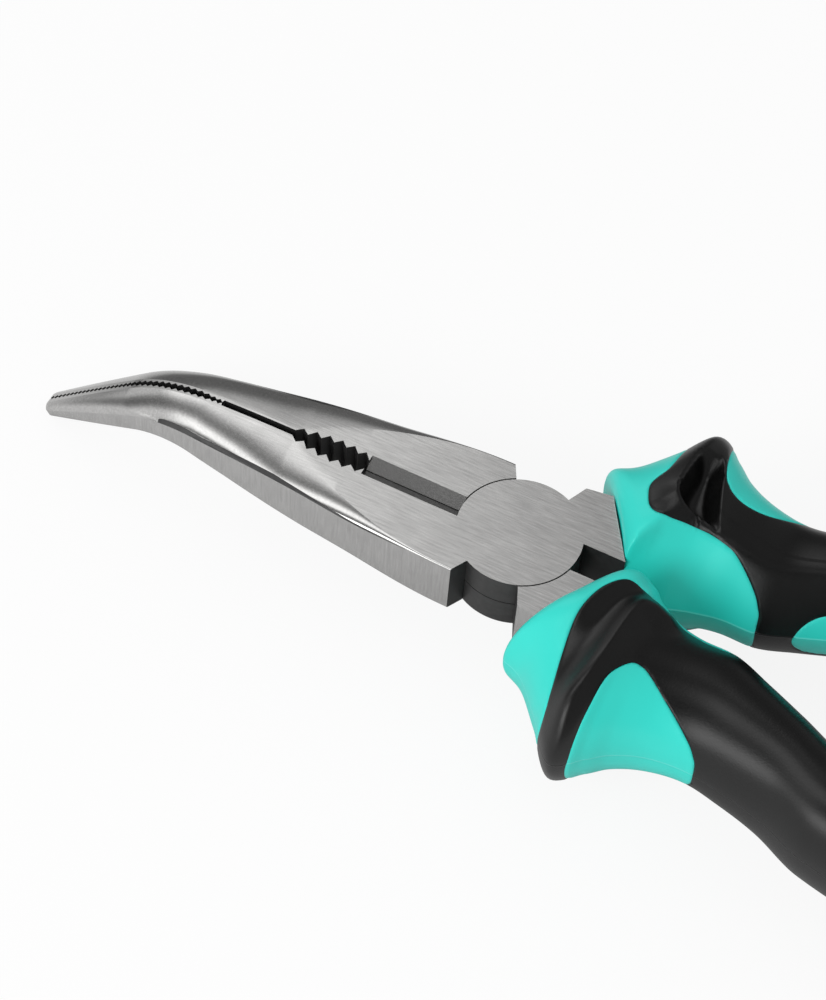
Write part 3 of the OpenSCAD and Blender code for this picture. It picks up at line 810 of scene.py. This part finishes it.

# Floor, light and camera
# A pale matt table just below the pliers, which keeps their shadow. What steel mirrors of it is a painted reflection
# that glows, dimmer to the back, with painted shade under and beside the pliers.
# Above it are soft even light, one broad lamp at the front left, and strips of light that only shiny pieces mirror.
floor_z = cad_low.z / MM - 0.3
floor_half = 900
to_back = (-0.388, 0.92, 0)
floor_material, tree, shader, add = nodes_of("pale_floor")
shader.inputs["Base Color"].default_value = (0.9, 0.9, 0.9, 1)
shader.inputs["Roughness"].default_value = 0.9
place = add("ShaderNodeTexCoord")
ray = add("ShaderNodeLightPath")
behind = add("ShaderNodeVectorMath", {0: place.outputs["Object"], 1: to_back}, operation="DOT_PRODUCT")
fading = add("ShaderNodeMapRange", {0: behind.outputs["Value"], 1: 0.04, 2: 0.16, 3: 0.85, 4: 0.2})
# Painted shade in the floor's mirrored glow: darker where the pliers close it in
painted_floor_shade = add("ShaderNodeAmbientOcclusion", {"Distance": 0.05}, samples=8)
shaded = add("ShaderNodeMath", {0: fading.outputs[0], 1: painted_floor_shade.outputs["AO"]}, operation="MULTIPLY")
painted_floor_reflection = add("ShaderNodeEmission", {"Strength": shaded.outputs[0]})
white_floor = add("ShaderNodeEmission", {"Strength": 1.0})
share = add("ShaderNodeMath", {0: ray.outputs["Is Camera Ray"], 1: 0.88}, operation="MULTIPLY")
seen = add("ShaderNodeMixShader", {0: share.outputs[0], 1: shader.outputs[0], 2: white_floor.outputs[0]})
blend = add("ShaderNodeMixShader", {0: ray.outputs["Is Glossy Ray"], 1: seen.outputs[0], 2: painted_floor_reflection.outputs[0]})
tree.links.new(blend.outputs[0], tree.nodes["Material Output"].inputs[0])
floor_corners = np.array([[-1, -1, 0], [1, -1, 0], [1, 1, 0], [-1, 1, 0]]) * floor_half + [0, 0, floor_z]
floor = new_piece("floor", floor_corners, [[0, 1, 2, 3]], [floor_material])

world = bpy.data.worlds.new("studio")
bpy.context.scene.world = world
world.use_nodes = True
# Not sampled as a lamp, so that each ray sees the light meant for its own kind
world.cycles.sampling_method = "NONE"
studio = adder(world.node_tree)


def steps(value, low, high, levels):
    """A brightness that runs straight from step to step, over a value that lies between low and high."""
    most = max(level for at, level in levels)
    share = studio("ShaderNodeMapRange", {0: value, 1: low, 2: high})
    ramp = studio("ShaderNodeValToRGB", {0: share.outputs[0]})
    marks = ramp.color_ramp.elements
    marks.remove(marks[1])
    for number, (at, level) in enumerate(levels):
        mark = marks.new((at - low) / (high - low)) if number else marks[0]
        mark.color = [level / most] * 3 + [1]
    return studio("ShaderNodeMath", {0: ramp.outputs[0], 1: most}, operation="MULTIPLY")


# What shiny surfaces mirror: long strips of light and dark overhead, given by how far to the front a direction
# points, which end along a slanted line on the right, a broad soft light that stands in front on the left, and
# a dim room that is lighter on the right
front_turn = np.radians(67.2)
toward = studio("ShaderNodeTexCoord")
turned = studio("ShaderNodeVectorRotate", {"Vector": toward.outputs["Generated"], "Angle": front_turn},
                rotation_type="Z_AXIS")
axes = studio("ShaderNodeSeparateXYZ", {0: turned.outputs[0]})
over = studio("ShaderNodeMath", {0: axes.outputs["X"], 1: axes.outputs["Z"]}, operation="ARCTAN2")
lean = studio("ShaderNodeMath", {0: axes.outputs["Y"], 1: -0.1, 2: axes.outputs["X"]}, operation="MULTIPLY_ADD")
strips = steps(lean.outputs[0], -1, 1, [
    (-1, 0.04), (-0.88, 0.04), (-0.82, 0.3), (-0.77, 0.56), (-0.67, 0.6), (-0.62, 1), (-0.58, 1.38), (-0.43, 1.38),
    (-0.35, 0.5), (-0.25, 0.14), (-0.16, 0.14), (-0.08, 0.4), (0, 1), (0.07, 1.65), (0.28, 1.65), (0.35, 0.7),
    (0.42, 0.08), (1, 0.08)])
slant = studio("ShaderNodeMath", {0: axes.outputs["X"], 1: 0.3, 2: axes.outputs["Y"]}, operation="MULTIPLY_ADD")
strips_end = steps(slant.outputs[0], -2, 2, [
    (-2, 0.5), (-0.86, 0.5), (-0.74, 1.05), (-0.35, 1.05), (-0.28, 1.2), (-0.24, 1.2), (-0.2, 1.1), (-0.137, 0.5),
    (-0.103, 0.25), (-0.05, 0.05), (-0.02, 0), (2, 0)])
strips = studio("ShaderNodeMath", {0: strips.outputs[0], 1: strips_end.outputs[0]}, operation="MULTIPLY")
broad = steps(over.outputs[0], -np.pi, np.pi, [(-np.pi, 0), (0.82, 0), (0.96, 3.8), (1.35, 3.8), (1.5, 0)])
leftward = steps(axes.outputs["Y"], -1, 1, [
    (-1, 0.06), (-0.94, 0.15), (-0.88, 0.5), (-0.78, 1), (-0.46, 1), (-0.4, 0.8), (-0.33, 0.15), (-0.27, 0), (1, 0)])
lights = studio("ShaderNodeMath", {0: broad.outputs[0], 1: leftward.outputs[0], 2: strips.outputs[0]},
                operation="MULTIPLY_ADD")
sideways = studio("ShaderNodeMath", {0: axes.outputs["X"], 1: 0.25, 2: axes.outputs["Y"]}, operation="MULTIPLY_ADD")
room = steps(sideways.outputs[0], -2, 2, [(-2, 0.13), (0.1, 0.13), (0.3, 0.32), (2, 0.32)])
lights = studio("ShaderNodeMath", {0: lights.outputs[0], 1: room.outputs[0]}, operation="ADD")
mirrored = studio("ShaderNodeBackground", {0: (1, 1, 1, 1), 1: lights.outputs[0]})
soft = studio("ShaderNodeBackground", {0: (1, 1, 1, 1), 1: 0.66})
white = studio("ShaderNodeBackground", {0: (1, 1, 1, 1), 1: 1.0})
ray = studio("ShaderNodeLightPath")
lit = studio("ShaderNodeMixShader", {0: ray.outputs["Is Glossy Ray"], 1: soft.outputs[0], 2: mirrored.outputs[0]})
seen = studio("ShaderNodeMixShader", {0: ray.outputs["Is Camera Ray"], 1: lit.outputs[0], 2: white.outputs[0]})
world.node_tree.links.new(seen.outputs[0], world.node_tree.nodes["World Output"].inputs[0])

lamp_data = bpy.data.lights.new("key", "AREA")
lamp_data.size = 0.4
lamp_data.energy = 4.4
lamp = bpy.data.objects.new("key", lamp_data)
lamp.location = (-0.33, -0.7, 0.5)
lamp.rotation_euler = (-lamp.location).to_track_quat("-Z", "Y").to_euler()
lamp.visible_glossy = False
bpy.context.scene.collection.objects.link(lamp)

cam_azimuth = np.radians(22.82)
cam_height = np.radians(54.08)
cam_roll = np.radians(4.96)
cam_at = np.array([88.7, -254.2, 376.8])
back = np.array([np.sin(cam_azimuth) * np.cos(cam_height), -np.cos(cam_azimuth) * np.cos(cam_height),
                 np.sin(cam_height)])
right = np.array([np.cos(cam_azimuth), np.sin(cam_azimuth), 0])
up = np.cross(back, right)
c, s = np.cos(cam_roll), np.sin(cam_roll)
facing = np.stack([c * right + s * up, -s * right + c * up, back], 1)
camera_data = bpy.data.cameras.new("camera")
camera_data.sensor_width = 36
camera_data.lens = 108
camera_data.clip_start = 0.01
camera = bpy.data.objects.new("camera", camera_data)
camera.matrix_world = Matrix.Translation(Vector(cam_at * MM)) @ Matrix(facing.tolist()).to_4x4()
bpy.context.scene.collection.objects.link(camera)
bpy.context.scene.camera = camera
bpy.context.scene.view_settings.view_transform = "Standard"
